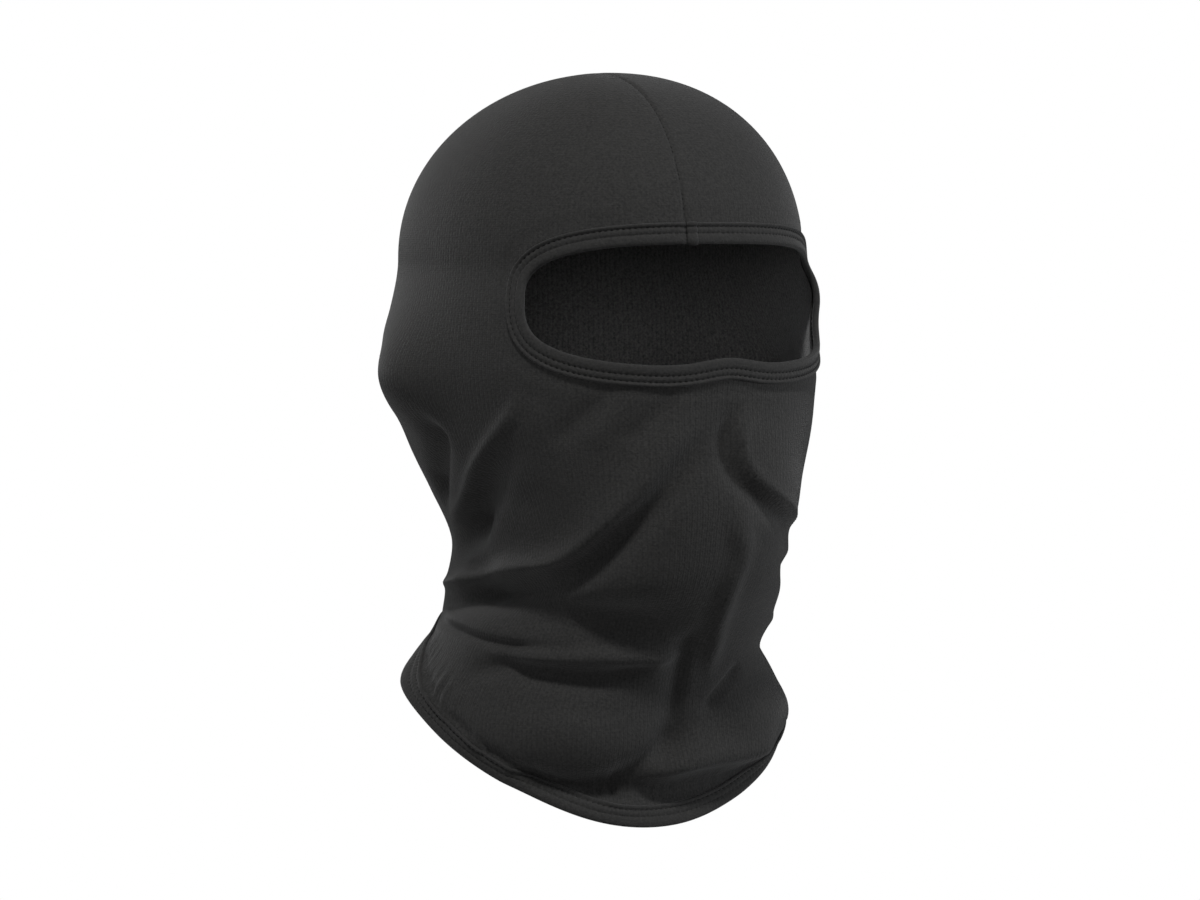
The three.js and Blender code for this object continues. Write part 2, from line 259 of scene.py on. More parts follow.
# Broad swellings and hollows: middle (turn in degrees, drop), half spans, height.
swells = [
    dict(at=(38, 269), half=(24, 15), rise=5.5),
    dict(at=(-38, 270), half=(20, 15), rise=7.5),
    dict(at=(-62, 272), half=(16, 12), rise=3.0),
    dict(at=(-52, 243), half=(26, 9), rise=-3.0),
    dict(at=(-58, 203), half=(14, 12), rise=2.2),
    dict(at=(-4, 302), half=(26, 9), rise=-4.2),
    dict(at=(-16, 153), half=(10, 18), rise=1.2),
    dict(at=(60, 174), half=(16, 10), rise=-1.0),
    dict(at=(24, 203), half=(12, 10), rise=1.6),
    dict(at=(150, 253), half=(40, 12), rise=1.5),
    dict(at=(-130, 256), half=(24, 12), rise=2.0),
    dict(at=(-57, 89), half=(18, 11), rise=3.6),  # the far cheekbone
    dict(at=(-60, 122), half=(16, 20), rise=-3.4),
    dict(at=(116, 110), half=(22, 12), rise=2.4),
    dict(at=(120, 139), half=(20, 9), rise=1.8),
    dict(at=(122, 236), half=(20, 7), rise=-2.0),
    dict(at=(108, 263), half=(24, 10), rise=7.4),  # the hem's flare behind the shoulder
]


def wrapped(turn):
    return (turn + np.pi) % (2 * np.pi) - np.pi


def foldLine(points):
    # a smooth line through the points, in flat millimetres
    flat = np.array([(math.radians(t) * drape["radius"], d) for t, d in points], float)
    padded = np.vstack([2 * flat[0] - flat[1], flat, 2 * flat[-1] - flat[-2]])
    steps = []
    for i in range(len(flat) - 1):
        a, b, c, d = padded[i:i + 4]
        for t in np.linspace(0, 1, 9)[:-1]:
            steps.append(0.5 * (2 * b + (c - a) * t + (2 * a - 5 * b + 4 * c - d) * t**2
                                + (3 * b - a - 3 * c + d) * t**3))
    steps.append(flat[-1])
    return np.array(steps)


def along(fold, key, share):
    # a multiplier that goes from its value at the line's start to the one at its end
    start, end = fold.get(key, (1, 1))
    return start + (end - start) * share


def foldHeight(fold, flat):
    # what one fold adds to the cloth, from the nearest place on its line
    line = foldLine(fold["line"])
    best = np.full(flat.shape[:-1], 1e9)
    side = np.zeros_like(best)
    share = np.zeros_like(best)
    count = len(line) - 1
    for i in range(count):
        step = line[i + 1] - line[i]
        length = np.hypot(*step)
        offset = flat - line[i]
        t = np.clip((offset @ step) / length**2, 0, 1)
        gap = offset - t[..., None] * step
        far = np.hypot(gap[..., 0], gap[..., 1])
        closer = far < best
        cross = step[0] * offset[..., 1] - step[1] * offset[..., 0]
        best = np.where(closer, far, best)
        side = np.where(closer, np.sign(cross), side)
        share = np.where(closer, (i + t) / count, share)
    signed = best * side
    fade = ease(share, -0.02, 0.22) * ease(1 - share, -0.02, 0.2)
    width = np.where(signed > 0, fold["under"], fold["above"]) * along(fold, "widen", share)
    height = fold["rise"] * bell(signed, width) * along(fold, "grow", share)
    if "hollow" in fold:
        height -= fold["hollow"] * bell(signed - fold["at"], fold["wide"]) * along(fold, "deepen", share)
    return height * fade


def hemDrop(turn):
    level = hood["back"] + (hood["front"] - hood["back"]) * ((1 + np.cos(turn)) / 2) ** hood["bib"]
    return level + hood["sag"] * bell(np.degrees(wrapped(turn)) - 30, 34)


def alongOf(turn):
    return turn * head["length"] / 2


def turnOf(along):
    return along * 2 / head["length"]


def hemSlope(turn):
    return (hemDrop(turn + turnStep) - hemDrop(turn - turnStep)) / alongOf(2 * turnStep)


def seamDrift(y):
    # how far the seam lies to the wearer's right: all of its drift at the brow, none at the back
    return hood["seamAtBrow"] * (0.5 - y / head["length"])


def seamTurn(drop, behind=False):
    # the turn at which the crown seam crosses a level: it lies in an upright plane from its drifted end at
    # the brow to the middle of the back, and runs straight down below that
    nearCrown = 2.5  # the seam's turn is held from here up
    drop = np.maximum(drop, nearCrown)
    turn = np.full_like(drop, np.pi if behind else 0.0)
    middle = levelAt(drop)[2]
    for _ in range(8):
        x, y, z = np.moveaxis(formPoint(turn, drop), -1, 0)
        swing = np.arcsin(np.clip(seamDrift(y) / np.hypot(x, y - middle), 0, 1))
        turn = np.pi - swing if behind else swing
    return np.where((drop > head["dome"]) & behind, np.pi, turn)


def seamGap(turn, drop):
    # distance from the crown seam, far away where there is none
    x, y, z = np.moveaxis(formPoint(turn, drop), -1, 0)
    aside = np.where(drop > head["dome"], np.where(y > 0, 0, hood["seamAtBrow"]), seamDrift(y))
    farAway = 40
    return np.abs(x + aside) + farAway * ((drop > eye["drop"]) & (y < 0))


def hemPucker(turn, hemDistance):
    # small puckers just above the hem's binding, strongest at the sides
    run = alongOf(turn)
    wave = np.sin(run / 1.15 + 1.3 * np.sin(run / 9)) * (0.6 + 0.4 * np.sin(run / 5.3 + 1))
    strength = 0.2 + 0.8 * bell(np.degrees(np.abs(turn)) - 88, 34)
    return wave * strength * ease(hemDistance, 8, 12) * bell(np.maximum(hemDistance - 12, 0), 7)


def relief(turn, drop):
    # how far the worn cloth stands off the smooth form
    turn = wrapped(turn)
    total = np.zeros(np.broadcast(turn, drop).shape)
    broad = total.copy()
    drop = drop + 0 * turn
    turn = turn + 0 * drop
    for shift in (-2 * np.pi, 0, 2 * np.pi):
        flat = np.stack([(turn + shift) * drape["radius"], drop], -1)
        for fold in folds:
            span = [t for t, d in fold["line"]]
            low = math.radians(min(span) - drape["reach"])
            high = math.radians(max(span) + drape["reach"])
            near = (turn + shift > low) & (turn + shift < high)
            if near.any():
                total[near] += foldHeight(fold, flat[near])
        for swell in swells:
            aside = (np.degrees(turn + shift) - swell["at"][0]) / swell["half"][0]
            down = (drop - swell["at"][1]) / swell["half"][1]
            broad += swell["rise"] * np.exp(-(aside**2) - down**2)
    # the bindings hold the cloth: folds fade towards both, and the broad swellings don't
    hemDistance = (hemDrop(turn) - drop) / np.hypot(1, hemSlope(turn))
    total *= drape["hemShare"] + (1 - drape["hemShare"]) * ease(hemDistance, *drape["hemFade"])
    total *= ease(eyeDistance(turn, drop), *drape["eyeFade"])
    total += broad
    # the bindings' free edges press into the cloth
    grooves = ((drape["eyeGroove"], eyeDistance(turn, drop)), (drape["hemGroove"], hemDistance))
    for depth, distance in grooves:
        total -= depth * bell(distance - band["width"] - drape["grooveGap"], drape["grooveHalfWidth"])
    total += hemPucker(turn, hemDistance)
    # slow unevenness of a stretched knit
    run = alongOf(turn)
    total += 0.22 * np.sin(run / 11 + drop / 17) * np.sin(drop / 13 - run / 29) * ease(drop, 90, 150)
    # the seam's valley, puckered a little by its stitches
    gap = seamGap(turn, drop)
    total -= hood["seamDepth"] * bell(gap, hood["seamHalfWidth"])
    total += 0.09 * bell(gap, 4.5) * np.sin(drop * 2.1 + 2 * np.sin(drop / 7))
    return total


def eyeDistance(turn, drop):
    # distance outside the eye opening's edge, along the cloth, true near the edge
    nearly = 1e-3  # keeps the middle lines from dividing by nothing
    run = np.maximum(np.abs(alongOf(turn)), nearly)
    rise = eye["drop"] - drop
    halfHeight = np.where(rise > 0, eye["rise"], eye["fall"])
    power = eye["square"]
    across = run / eye["halfWidth"]
    up = np.maximum(np.abs(rise), nearly) / halfHeight
    ratio = (across**power + up**power) ** (1 / power)
    acrossSlope = (across / ratio) ** (power - 1) / eye["halfWidth"]
    upSlope = (up / ratio) ** (power - 1) / halfHeight
    return (ratio - 1) / np.hypot(acrossSlope, upSlope)


def wornPoint(turn, drop):
    here, normal = outward(formPoint, turn, drop)
    return here + normal * (hood["wall"] + relief(turn, drop))[..., None]


def clothPoint(turn, drop, out=0.0):
    here, normal = outward(wornPoint, turn, drop)
    return here + normal * np.asarray(out)[..., None]


def eyeOutline(angle):
    # the eye opening's edge, laid flat: along the cloth and up from its corners
    side, rise = np.cos(angle), np.sin(angle)
    run = eye["halfWidth"] * np.sign(side) * np.abs(side) ** (2 / eye["square"])
    height = np.sign(rise) * np.abs(rise) ** (2 / eye["square"])
    height = height * np.where(rise > 0, eye["rise"], eye["fall"])
    nose = np.where(rise < 0, eye["noseRise"] * bell(run, eye["noseHalfWidth"]), 0)
    return np.stack([run, height + nose], -1)


def eyeFlat(angle, margin):
    # the same, a margin outside the edge
    tangent = eyeOutline(angle + turnStep) - eyeOutline(angle - turnStep)
    tangent /= np.linalg.norm(tangent, axis=-1, keepdims=True)
    square = np.stack([tangent[..., 1], -tangent[..., 0]], -1)
    return eyeOutline(angle) + square * np.asarray(margin)[..., None]


def eyePlace(angle, margin, out):
    # a place beside the eye opening's edge, and hemPlace one above the hem, out from the cloth
    flat = eyeFlat(angle, margin)
    return clothPoint(turnOf(flat[..., 0]), eye["drop"] - flat[..., 1], out)


def hemPlace(turn, margin, out):
    slope = hemSlope(turn)
    up = margin / np.hypot(1, slope)
    return clothPoint(turn + turnOf(slope * up), hemDrop(turn) - up, out)


def placed(name, data):
    # a new object in the scene
    obj = bpy.data.objects.new(name, data)
    bpy.context.scene.collection.objects.link(obj)
    return obj


def meshObject(name, points, faces):
    mesh = bpy.data.meshes.new(name)
    mesh.from_pydata([tuple(p) for p in np.asarray(points) * mm], [], faces)
    mesh.validate()
    mesh.polygons.foreach_set("use_smooth", [True] * len(mesh.polygons))
    return placed(name, mesh)


def gridFaces(rows, columns):
    # quads between rows of points, each row closed on itself
    faces = []
    for r in range(rows - 1):
        for c in range(columns):
            d = (c + 1) % columns
            faces.append((r * columns + c, (r + 1) * columns + c, (r + 1) * columns + d, r * columns + d))
    return faces


def cornerVertices(mesh):
    # the vertex at each corner of the mesh's faces
    corners = np.zeros(len(mesh.loops), int)
    mesh.loops.foreach_get("vertex_index", corners)
    return corners


def bake(obj, name):
    # the evaluated shape of an object as a plain mesh object of its own
    graph = bpy.context.evaluated_depsgraph_get()
    mesh = bpy.data.meshes.new_from_object(obj.evaluated_get(graph))
    made = placed(name, mesh)
    bpy.data.objects.remove(obj)
    return made


# the hood's cloth

def spreadTurns(count):
    # column turns, closer together in front and closest at the seam, which is at 0 and half a turn here
    fine = np.linspace(-np.pi, np.pi, 20001)
    middle = (fine[1:] + fine[:-1]) / 2
    density = 1 + 0.75 * bell(middle, 1.5) + 5 * bell(middle, 0.02)
    density += 3 * bell(np.abs(middle) - np.pi, 0.02)
    total = np.concatenate([[0], np.cumsum(density)])
    return np.interp(np.arange(count) / count * total[-1], total, fine)


def seamColumns(base, drop):
    # the column turns at a drop, with the fine ones drawn onto the seam
    front = seamTurn(np.array([min(drop, eye["drop"])]))[0]
    behind = np.pi - seamTurn(np.array([drop]), behind=True)[0]
    gapBehind = np.where(base > 0, base - np.pi, base + np.pi)
    return base + front * bell(base, 0.45) - behind * bell(gapBehind, 0.45)


def hoodRows():
    # turns and drops of the cloth's points, in rows from the crown to the cut edge at the hem
    base = spreadTurns(hood["columns"])
    rise = np.linspace(0, np.pi / 2, hood["domeRows"] + 1)[1:]
    domeDrops = head["dome"] * (1 - np.cos(rise) ** (2 / head["domePower"]))
    domeDrops[-1] = head["dome"]
    rows = [(seamColumns(base, drop), np.full_like(base, drop)) for drop in domeDrops]
    turn = seamColumns(base, head["dome"] + dropStep)
    end = hemDrop(turn) - hood["cutEdge"]
    for i in range(1, hood["bodyRows"] + 1):
        rows.append((turn, head["dome"] + (end - head["dome"]) * i / hood["bodyRows"]))
    return np.array([turn for turn, drop in rows]), np.array([drop for turn, drop in rows])


def hoodFaces(turns, drops):
    # a fan round the crown's point and quads below it, with none over the eye opening
    rows, count = turns.shape
    inFront = 1.6  # radians
    edge = eyeDistance(turns, drops)
    faces = [(0, 1 + (c + 1) % count, 1 + c) for c in range(count)]
    for r in range(rows - 1):
        for c in range(count):
            d = (c + 1) % count
            furthest = max(edge[r, c], edge[r + 1, c], edge[r, d], edge[r + 1, d])
            if furthest < hood["eyeCut"] and abs(turns[r, c]) < inFront:
                continue
            upper, lower = 1 + r * count, 1 + (r + 1) * count
            faces.append((upper + c, upper + d, lower + d, lower + c))
    return faces


def layKnit(mesh, turns, drops):
    # the knit's own map: metres round the head and down from the crown
    knit = mesh.uv_layers.new(name="knit")
    flat = np.vstack([[0, 0], np.stack([alongOf(turns), drops], -1).reshape(-1, 2)]) * mm
    uv = flat[cornerVertices(mesh)]
    # the column that closes the round keeps counting instead of jumping back
    wrap = 2 * np.pi * head["length"] / 2 * mm
    starts = np.zeros(len(mesh.polygons), int)
    mesh.polygons.foreach_get("loop_start", starts)
    sizes = np.zeros(len(mesh.polygons), int)
    mesh.polygons.foreach_get("loop_total", sizes)
    owner = np.repeat(np.arange(len(starts)), sizes)
    high = np.maximum.reduceat(uv[:, 0], starts)
    uv[:, 0] += np.where(high[owner] - uv[:, 0] > wrap / 2, wrap, 0)
    knit.data.foreach_set("uv", uv.astype(np.float32).ravel())


def makeHood():
    turns, drops = hoodRows()
    points = wornPoint(turns, drops)
    crown = points[0].mean(0)[None, :] + [[0, 0, 0.02]]
    obj = meshObject("hood", np.vstack([crown, points.reshape(-1, 3)]), hoodFaces(turns, drops))
    layKnit(obj.data, turns, drops)
    # the outer face and the inner one each have a finish; the inner one is painted lighter, as painted light
    # inside the hood
    for _ in range(2):
        obj.data.materials.append(None)
    solid = obj.modifiers.new("wall", "SOLIDIFY")
    solid.thickness = hood["wall"] * mm
    solid.offset = -1
    solid.use_even_offset = False
    solid.use_rim = True
    solid.material_offset = 1
    solid.material_offset_rim = 1
    made = bake(obj, "hood_knit")
    dropLoose(made)
    return made


def dropLoose(obj):
    # the points left over in the eye opening belong to no face
    work = bmesh.new()
    work.from_mesh(obj.data)
    bmesh.ops.delete(work, geom=[v for v in work.verts if not v.link_faces], context="VERTS")
    work.to_mesh(obj.data)
    work.free()


hoodPiece = makeHood()
print("hood", len(hoodPiece.data.polygons), "faces")


# the two folded bindings

def bandSection():
    # outline of the folded strip: margin from the fold, height above the cloth, the way each point faces, and
    # how much of the stitches' pull it takes
    half = hood["wall"] / 2
    reach = half + band["lift"]  # from the cloth's middle to the strip
    wall, width = band["wall"], band["width"]
    between = (rowA + rowB) / 2
    acrossRow = np.array([-0.5, -0.25, 0, 0.25, 0.5])
    points = []

    def skin(side, order):
        margins = np.unique(np.concatenate([
            np.linspace(1.2, rowA - 0.9, 4), rowA + acrossRow, [between], rowB + acrossRow,
            [rowB + 0.95, width - 0.25, width]]))
        for m in margins[::order]:
            roll = band["puff"] * bell(m - 2, 1.7) + band["ridge"] * bell(m - between, 0.7)
            roll += band["freeRoll"] * bell(m - width + 0.7, 0.55)
            pull = bell(m - rowA, band["rowHalfWidth"]) + bell(m - rowB, band["rowHalfWidth"])
            height = reach + wall + roll - band["groove"] * pull
            if m > width - 0.2:
                height = reach + wall * 0.45
            points.append((m, side * height, 0.0, side, pull))

    def under(side, order):
        for m in np.array([width - 0.1, rowB, rowA, 2.2, 1.3])[::order]:
            points.append((m, side * reach, 0.0, side, 0.0))

    skin(1, 1)
    under(1, 1)
    for angle in np.radians([60, 20, -20, -60]):
        side, rise = math.cos(angle), math.sin(angle)
        points.append((1.0 - 0.45 * side, reach * rise, -side, rise, 0))
    under(-1, -1)
    skin(-1, -1)
    outer = reach + wall + 0.16
    for angle in np.radians([-66, -40, -14, 14, 40, 66]):
        side, rise = math.cos(angle), math.sin(angle)
        points.append((1.05 - 1.05 * side, outer * rise, -side, rise, 0))
    return np.array(points)


def arcPlaces(path, start, span, count):
    # parameters a whole turn apart in equal steps of length along a path
    fine = start + np.linspace(0, span, 4001)
    points = path(fine)
    length = np.concatenate([[0], np.cumsum(np.linalg.norm(np.diff(points, axis=0), axis=-1))])
    return np.interp(np.linspace(0, length[-1], count), length, fine), length[-1]


def edgePath(place, margin):
    # a line along an edge, on the cloth and at one margin from it
    def path(spots):
        return place(spots, np.full_like(spots, margin), np.zeros_like(spots))
    return path


def makeBand(name, place, start, span, pitch):
    # the folded strip swept along its edge, dented at every stitch; its end laps over its beginning
    section = bandSection()
    path = edgePath(place, 4.0)
    stepsPerStitch = 4
    lap = 1  # stitches of overlap
    stitches = int(round(arcPlaces(path, start, span, 11)[1] / pitch))
    count = (stitches + lap) * stepsPerStitch + 1
    places, length = arcPlaces(path, start, span * (1 + lap / stitches), count)
    step = np.arange(count)
    needle = np.abs(np.cos(np.pi * step / stepsPerStitch)) ** 2  # 1 where the needle goes through
    lastSteps = (lap + 1) * stepsPerStitch
    swell = 0.5 * ease(step, count - 1 - lastSteps, count - 1 - lap * stepsPerStitch + 1)
    rng = np.random.default_rng(7)
    smooth = np.ones(7) / 7
    wobble = 0.05 * np.convolve(rng.normal(size=count + 12), smooth, "same")[6:6 + count]
    margins, heights, aside, away, pull = (section[:, i][None, :] for i in range(5))
    lift = swell[:, None] + (wobble[:, None] - band["dent"] * needle[:, None]) * pull
    margin = margins + aside * lift * (aside < 0)
    out = heights + away * lift - hood["wall"] / 2
    points = place(places[:, None] + 0 * margin, margin, out)
    rows, columns = points.shape[:2]
    faces = gridFaces(rows, columns)
    faces.append(tuple(range(columns))[::-1])
    faces.append(tuple(range((rows - 1) * columns, rows * columns)))
    obj = meshObject(name, points.reshape(-1, 3), faces)
    uv = obj.data.uv_layers.new(name="knit")
    run = np.linspace(0, length, rows)[:, None] + 0 * margin
    sides = np.hypot(np.diff(section[:, 0]), np.diff(section[:, 1]))
    around = np.concatenate([[0], np.cumsum(sides)])
    flat = np.stack([run, around[None, :] + 0 * run], -1).reshape(-1, 2) * mm
    uv.data.foreach_set("uv", flat[cornerVertices(obj.data)].astype(np.float32).ravel())
    faceOut(obj)
    return obj, stitches


def faceOut(obj):
    work = bmesh.new()
    work.from_mesh(obj.data)
    bmesh.ops.recalc_face_normals(work, faces=work.faces)
    work.to_mesh(obj.data)
    work.free()


seamEnd = eye["drop"] - eye["rise"] - band["width"]
browTurn = float(seamTurn(np.array([seamEnd]))[0])
eyeJoin = math.acos((alongOf(browTurn) / eye["halfWidth"]) ** (eye["square"] / 2))
eyePiece, eyeStitches = makeBand("eye_band", eyePlace, eyeJoin, 2 * np.pi, band["eyePitch"])
neckPiece, neckStitches = makeBand("neck_band", hemPlace, np.pi, -2 * np.pi, band["hemPitch"])
print("bindings", len(eyePiece.data.polygons) + len(neckPiece.data.polygons), "faces")


# stitching

thread = dict(
    radius=0.2,
    dash=0.7,  # half the length of a stitch that shows
    seamPitch=2.1,
    seamRadius=0.15,
    seamDash=0.62,
    looperRadius=0.17,
    looperReach=1.6,  # to each side of the crown seam
    looperSpan=0.985,  # share of the round, so that its ends don't meet
    looperPast=0.25,  # beyond the rows
    looperStandOff=0.12,
    unevenness=0.08,
)


def startTree(name, **inputs):
    # a node tree that takes and gives geometry, with an input of the kind given for each name
    tree = bpy.data.node_groups.new(name, "GeometryNodeTree")
    for title, kind in inputs.items():
        tree.interface.new_socket(name=title.replace("_", " "), in_out="INPUT",
                                  socket_type="NodeSocket" + kind)
    tree.interface.new_socket(name="Geometry", in_out="OUTPUT", socket_type="NodeSocketGeometry")
    return tree, tree.nodes.new("NodeGroupInput")


def finishTree(tree, given, shape):
    # the tree ends in real instances, smooth faces and the material
    nodes, links = tree.nodes, tree.links
    for kind in ("RealizeInstances", "SetShadeSmooth", "SetMaterial"):
        made = nodes.new("GeometryNode" + kind)
        links.new(shape, made.inputs["Geometry"])
        shape = made.outputs["Geometry"]
    links.new(given.outputs["Material"], made.inputs["Material"])
    links.new(shape, nodes.new("NodeGroupOutput").inputs["Geometry"])
    return tree


def stitchTree():
    # small pills laid along a line, one for each point, turned to stand on the cloth
    tree, given = startTree("stitches along a line", Geometry="Geometry", Half_length="Float",
                            Radius="Float", Unevenness="Float", Seed="Int", Material="Material")
    nodes, links = tree.nodes, tree.links
    pill = nodes.new("GeometryNodeMeshUVSphere")
    pill.inputs["Segments"].default_value = 6
    pill.inputs["Rings"].default_value = 5
    pill.inputs["Radius"].default_value = 1
    along, away = nodes.new("GeometryNodeInputNamedAttribute"), nodes.new("GeometryNodeInputNamedAttribute")
    for node, name in ((along, "along"), (away, "away")):
        node.data_type = "FLOAT_VECTOR"
        node.inputs["Name"].default_value = name
    # the pill's pole axis Z lies along the line, its X faces away from the cloth
    first, second = (nodes.new("FunctionNodeAlignRotationToVector") for _ in range(2))
    first.axis, second.axis, second.pivot_axis = "Z", "X", "Z"
    links.new(along.outputs["Attribute"], first.inputs["Vector"])
    links.new(first.outputs["Rotation"], second.inputs["Rotation"])
    links.new(away.outputs["Attribute"], second.inputs["Vector"])
    spread = nodes.new("FunctionNodeRandomValue")
    spread.data_type = "FLOAT_VECTOR"
    links.new(given.outputs["Seed"], spread.inputs["Seed"])
    low, high = nodes.new("ShaderNodeMath"), nodes.new("ShaderNodeMath")
    low.operation, high.operation = "SUBTRACT", "ADD"
    for node in (low, high):
        node.inputs[0].default_value = 1
        links.new(given.outputs["Unevenness"], node.inputs[1])
    links.new(low.outputs[0], spread.inputs["Min"])
    links.new(high.outputs[0], spread.inputs["Max"])
    size = nodes.new("ShaderNodeCombineXYZ")
    links.new(given.outputs["Radius"], size.inputs["X"])
    links.new(given.outputs["Radius"], size.inputs["Y"])
    links.new(given.outputs["Half length"], size.inputs["Z"])
    scale = nodes.new("ShaderNodeVectorMath")
    scale.operation = "MULTIPLY"
    links.new(size.outputs[0], scale.inputs[0])
    links.new(spread.outputs["Value"], scale.inputs[1])
    place = nodes.new("GeometryNodeInstanceOnPoints")
    links.new(given.outputs["Geometry"], place.inputs["Points"])
    links.new(pill.outputs["Mesh"], place.inputs["Instance"])
    links.new(second.outputs["Rotation"], place.inputs["Rotation"])
    links.new(scale.outputs[0], place.inputs["Scale"])
    return finishTree(tree, given, place.outputs["Instances"])


def threadTree():
    # a round thread swept along a line
    tree, given = startTree("thread along a line", Geometry="Geometry", Radius="Float", Material="Material")
    nodes, links = tree.nodes, tree.links
    curve, sweep = nodes.new("GeometryNodeMeshToCurve"), nodes.new("GeometryNodeCurveToMesh")
    ring = nodes.new("GeometryNodeCurvePrimitiveCircle")
    ring.inputs["Resolution"].default_value = 6
    sweep.inputs["Fill Caps"].default_value = True
    links.new(given.outputs["Geometry"], curve.inputs["Mesh"])
    links.new(curve.outputs["Curve"], sweep.inputs["Curve"])
    links.new(given.outputs["Radius"], ring.inputs["Radius"])
    links.new(ring.outputs["Curve"], sweep.inputs["Profile Curve"])
    return finishTree(tree, given, sweep.outputs["Mesh"])


def grow(tree, source, name, values):
    # runs a node tree on an object and keeps the result as a plain mesh
    modifier = source.modifiers.new("grow", "NODES")
    modifier.node_group = tree
    for item in tree.interface.items_tree:
        if item.item_type == "SOCKET" and item.in_out == "INPUT" and item.name in values:
            modifier[item.identifier] = values[item.name]
    return bake(source, name)


def sourceObject(name, points, edges=()):
    mesh = bpy.data.meshes.new(name)
    mesh.from_pydata([tuple(p) for p in points * mm], list(edges), [])
    return placed(name, mesh)


stitchShape, strandShape = stitchTree(), threadTree()


def unit(vectors):
    return vectors / np.linalg.norm(vectors, axis=-1, keepdims=True)


def stitchRow(name, points, outer, halfLength, radius, seed):
    # points: one for each stitch on the surface; outer: the same a little further out
    along = unit(np.gradient(points, axis=0))
    away = unit(outer - points)
    source = sourceObject("stitch places", points)
    for key, data in (("along", along), ("away", away)):
        layer = source.data.attributes.new(key, "FLOAT_VECTOR", "POINT")
        layer.data.foreach_set("vector", data.astype(np.float32).ravel())
    return grow(stitchShape, source, name, {"Half length": halfLength * mm, "Radius": radius * mm,
                                            "Unevenness": thread["unevenness"], "Seed": seed,
                                            "Material": threadFinish})


def strandAlong(name, points):
    source = sourceObject("thread route", points, [(i, i + 1) for i in range(len(points) - 1)])
    return grow(strandShape, source, name, {"Radius": thread["looperRadius"] * mm,
                                            "Material": threadFinish})


# materials

class Shade:
    # a socket that adds Math nodes when it is used in an expression
    def __init__(self, tree, socket=None):
        self.tree, self.socket = tree, socket

    def node(self, kind, settings=None, out=0, **values):
        made = self.tree.nodes.new(kind)
        for key, value in (settings or {}).items():
            setattr(made, key, value)
        for key, value in values.items():
            # i0, i1 and so on are inputs by number, the others by name
            given = made.inputs[int(key[1:]) if key[1:].isdigit() else key.replace("_", " ")]
            if isinstance(value, Shade):
                self.tree.links.new(value.socket, given)
            else:
                given.default_value = value
        return Shade(self.tree, made.outputs[out])

    def math(self, operation, *others, swap=False):
        pair = [self, *others]
        if swap:
            pair.reverse()
        inputs = {f"i{i}": value for i, value in enumerate(pair)}
        return self.node("ShaderNodeMath", {"operation": operation}, **inputs)

    def __add__(self, other):
        return self.math("ADD", other)

    def __radd__(self, other):
        return self.math("ADD", other, swap=True)

    def __sub__(self, other):
        return self.math("SUBTRACT", other)

    def __rsub__(self, other):
        return self.math("SUBTRACT", other, swap=True)

    def __mul__(self, other):
        return self.math("MULTIPLY", other)

    def __rmul__(self, other):
        return self.math("MULTIPLY", other, swap=True)

    def sine(self):
        return self.math("SINE")

    def between(self, low, high):
        # 0 at low, 1 at high, smooth
        return self.node("ShaderNodeMapRange", {"interpolation_type": "SMOOTHSTEP"},
                         Value=self, From_Min=low, From_Max=high)


def startMaterial(name):
    material = bpy.data.materials.new(name)
    material.use_nodes = True
    tree = material.node_tree
    surface = tree.nodes["Principled BSDF"]
    return material, Shade(tree), surface


def wire(bench, surface, name, value):
    bench.tree.links.new(value.socket, surface.inputs[name])


def grey(value, warmth=0.0):
    return (value * (1 + warmth), value, value * (1 - warmth), 1)


knitLook = dict(
    dark=0.0056,
    light=0.016,
    wale=1.15,  # mm between ribs of the knit
    course=0.9,
    beat=2.3,  # wider ribbing that the stretched cloth shows
    inside=8,  # how many times lighter the inner face is painted: painted light standing in for light inside the hood
    # painted shade: the thread is set darker than the cloth so the stitch rows read as dark shaded dots,
    # though the real thread is as black as the cloth
    thread=0.003,
)


def knitMaterial(name, dark, light, ribs, grain, sheen):
    material, bench, surface = startMaterial(name)
    uv = bench.node("ShaderNodeUVMap", {"uv_map": "knit"})
    split = uv.node("ShaderNodeSeparateXYZ", Vector=uv)
    u, v = split, Shade(bench.tree, split.socket.node.outputs[1])
    place = bench.node("ShaderNodeTexCoord", out=3)
    wander = bench.node("ShaderNodeTexNoise", Vector=place, Scale=60, Detail=3)
    turnPerMetre = 2 * math.pi / mm
    wale = ((u * (turnPerMetre / knitLook["wale"])) + wander * 5).sine()
    course = ((v * (turnPerMetre / knitLook["course"])) + wander * 4).sine()
    beat = ((u * (turnPerMetre / knitLook["beat"])) + wander * 6).sine()
    face = 1 - v.between(0.03, 0.075)
    fine = bench.node("ShaderNodeTexNoise", Vector=place, Scale=1000, Detail=2, Roughness=0.6)
    fibre = bench.node("ShaderNodeTexNoise", Vector=place, Scale=420, Detail=4, Roughness=0.7)
    cloud = bench.node("ShaderNodeTexNoise", Vector=place, Scale=14, Detail=3)
    ribMask = 1 - face
    height = wale * 0.25 * ribMask * ribs + beat * 0.22 * ribMask * ribs + course * 0.12 * ribs
    height = height + (fine - 0.5) * 3.4 * grain + (fibre - 0.5) * 1.4 * grain
    tone = (cloud - 0.5) * 0.4 + (fibre - 0.5) * 0.5 * grain + (fine - 0.5) * 2.4 * grain
    tone = tone + beat * 0.1 * ribMask * ribs + wale * 0.06 * ribMask * ribs + 0.5
    colour = bench.node("ShaderNodeMix", {"data_type": "RGBA"}, out=2, i0=tone,
                        i6=grey(dark, -0.015), i7=grey(light, 0.012))
    wire(bench, surface, "Base Color", colour)
    wire(bench, surface, "Roughness", 0.86 + (fibre - 0.5) * 0.16 + (cloud - 0.5) * 0.08)
    bump = bench.node("ShaderNodeBump", Strength=0.5, Distance=0.00022, Height=height)
    wire(bench, surface, "Normal", bump)
    surface.inputs["Specular IOR Level"].default_value = 0.25
    surface.inputs["Sheen Weight"].default_value = sheen
    surface.inputs["Sheen Roughness"].default_value = 0.45
    surface.inputs["Sheen Tint"].default_value = (0.75, 0.76, 0.78, 1)
    return material


